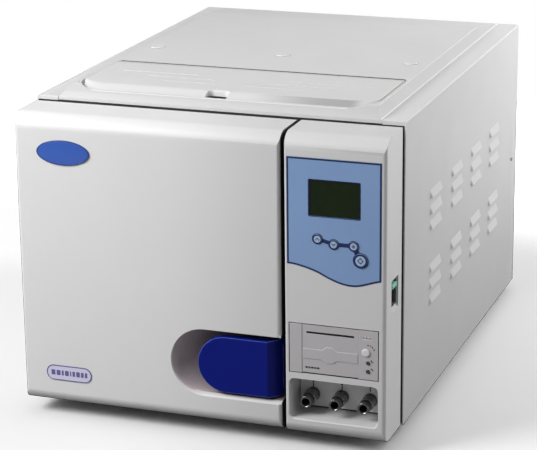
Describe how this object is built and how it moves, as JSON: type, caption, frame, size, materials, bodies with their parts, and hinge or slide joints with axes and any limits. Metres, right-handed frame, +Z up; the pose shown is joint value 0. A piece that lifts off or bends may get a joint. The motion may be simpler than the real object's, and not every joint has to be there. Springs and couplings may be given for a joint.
{
  "type": "benchtop autoclave",
  "caption": "Benchtop steam autoclave: round chamber behind a side-hinged door with a lever handle, control column with display, printer and hose couplings, and a lidded water tank on top.",
  "frame": {"origin": "middle of the footprint at the bottom of the feet", "axes": "+Z up, front (door and control column) towards -Y, +X towards the control column"},
  "size_m": [0.471, 0.6536, 0.4025],
  "materials": {
    "casing_paint": "fine textured powder coat, warm light grey",
    "moulding_plastic": "fine-grained satin moulded plastic, warm white",
    "blue_plastic": "glossy deep blue",
    "badge_blue": "glossy blue with a darker rim",
    "pale_label": "satin pale lilac print film with a dark outline",
    "membrane_film": "satin light blue printed film with a navy border",
    "key_film": "satin domed key with navy ring",
    "lcd_glass": "dark green-black display glass",
    "dark_plastic": "fine matte black plastic",
    "green_plastic": "translucent green rocker",
    "rubber": "matte rubber",
    "gasket_silicone": "soft satin silicone",
    "stainless": "brushed stainless steel",
    "zinc_steel": "zinc-plated sheet",
    "chrome": "polished chrome",
    "aluminium": "fine turned aluminium",
    "brass": "satin brass",
    "tank_plastic": "milky satin plastic",
    "insulation_felt": "fibrous felt",
    "circuit_board": "green solder mask",
    "cast_body": "dark enamelled casting",
    "dark_paint": "dark powder-coated sheet",
    "grey_plastic": "fine-grained grey moulding"
  },
  "bodies": {
    "chassis": {"base_tray": "zinc_steel", "foot_front_left": "rubber", "foot_front_right": "rubber", "foot_rear_left": "rubber", "foot_rear_right": "rubber", "right_side_panel": "casing_paint", "left_side_panel": "casing_paint", "casing_screw_right": "zinc_steel", "casing_screw_left": "zinc_steel", "front_frame": "dark_paint", "rear_panel": "casing_paint", "top_cover": "moulding_plastic", "cover_plug_left": "moulding_plastic", "cover_plug_centre": "moulding_plastic", "cover_plug_right": "moulding_plastic", "lid_hinge_rod": "stainless", "water_tank": "tank_plastic", "chamber_vessel": "stainless", "chamber_insulation": "insulation_felt", "safety_valve": "brass", "vacuum_pump": "cast_body", "water_pump": "cast_body", "condenser": "aluminium", "fan_frame": "dark_plastic", "valve_block": "brass", "power_inlet": "dark_plastic", "hinge_bracket": "zinc_steel", "hinge_pin": "stainless", "lock_solenoid": "cast_body", "control_housing": "moulding_plastic", "membrane_panel": "membrane_film", "lcd_display": "lcd_glass", "control_board": "circuit_board", "printer_frame": "grey_plastic", "fittings_plate": "moulding_plastic", "coupling_left": "chrome", "coupling_centre": "chrome", "coupling_right": "chrome", "power_switch_body": "dark_plastic"},
    "door": {"door_cover": "moulding_plastic", "door_back_plate": "zinc_steel", "pressure_plate": "stainless", "door_gasket": "gasket_silicone", "door_bridge": "cast_body", "door_badge": "badge_blue", "capacity_plate": "pale_label"},
    "handle": {"door_handle": "blue_plastic"},
    "latch": {"latch_bolt": "stainless"},
    "lock_pin": {"lock_pin": "stainless"},
    "lid": {"tank_lid": "moulding_plastic"},
    "fan": {"fan_rotor": "dark_plastic"},
    "key_up": {"key_up": "key_film"},
    "key_down": {"key_down": "key_film"},
    "key_select": {"key_select": "key_film"},
    "key_start": {"key_start": "key_film"},
    "printer_flap": {"printer_flap": "grey_plastic"},
    "printer_knob": {"printer_knob": "moulding_plastic"},
    "printer_feed_key": {"printer_feed_key": "dark_plastic"},
    "printer_power_key": {"printer_power_key": "dark_plastic"},
    "power_rocker": {"power_rocker": "green_plastic"}
  },
  "joints": [
    {"name": "door_hinge", "type": "hinge", "parent": "chassis", "child": "door", "pos_m": [-0.221, -0.26915, 0.195], "axis": [0, 0, -1], "range_deg": [0, 105]},
    {"name": "handle_pivot", "type": "hinge", "parent": "door", "child": "handle", "pos_m": [0.094, -0.29615, 0.094], "axis": [0, 0, 1], "range_deg": [0, 30], "stiffness_Nm_per_rad": 1.2},
    {"name": "latch_slide", "type": "slide", "parent": "door", "child": "latch", "axis": [-1, 0, 0], "range_m": [0, 0.0092]},
    {"name": "lock_pin_slide", "type": "slide", "parent": "chassis", "child": "lock_pin", "axis": [0, -1, 0], "range_m": [0, 0.011], "stiffness_N_per_m": 60},
    {"name": "lid_hinge", "type": "hinge", "parent": "chassis", "child": "lid", "pos_m": [0, -0.10465, 0.396], "axis": [-1, 0, 0], "range_deg": [0, 92]},
    {"name": "fan_spin", "type": "hinge", "parent": "chassis", "child": "fan", "pos_m": [0.14, 0.30185, 0.145], "axis": [0, 1, 0], "continuous": true},
    {"name": "key_up_press", "type": "slide", "parent": "chassis", "child": "key_up", "axis": [0, 1, 0], "range_m": [0, 0.001], "stiffness_N_per_m": 600},
    {"name": "key_down_press", "type": "slide", "parent": "chassis", "child": "key_down", "axis": [0, 1, 0], "range_m": [0, 0.001], "stiffness_N_per_m": 600},
    {"name": "key_select_press", "type": "slide", "parent": "chassis", "child": "key_select", "axis": [0, 1, 0], "range_m": [0, 0.001], "stiffness_N_per_m": 600},
    {"name": "key_start_press", "type": "slide", "parent": "chassis", "child": "key_start", "axis": [0, 1, 0], "range_m": [0, 0.001], "stiffness_N_per_m": 600},
    {"name": "printer_flap_hinge", "type": "hinge", "parent": "chassis", "child": "printer_flap", "pos_m": [0.163, -0.32315, 0.098], "axis": [1, 0, 0], "range_deg": [0, 80]},
    {"name": "printer_knob_turn", "type": "hinge", "parent": "chassis", "child": "printer_knob", "pos_m": [0.2072, -0.32515, 0.1294], "axis": [0, 1, 0], "range_deg": [-135, 135]},
    {"name": "printer_feed_key_press", "type": "slide", "parent": "chassis", "child": "printer_feed_key", "axis": [0, 1, 0], "range_m": [0, 0.0008], "stiffness_N_per_m": 500},
    {"name": "printer_power_key_press", "type": "slide", "parent": "chassis", "child": "printer_power_key", "axis": [0, 1, 0], "range_m": [0, 0.0008], "stiffness_N_per_m": 500},
    {"name": "power_rocker_tilt", "type": "hinge", "parent": "chassis", "child": "power_rocker", "pos_m": [0.219, -0.28765, 0.1935], "axis": [0, -1, 0], "range_deg": [0, 14]}
  ],
  "couplings": [
    {"joint": "latch_slide", "follows": "handle_pivot", "m_per_rad": 0.0165}
  ]
}
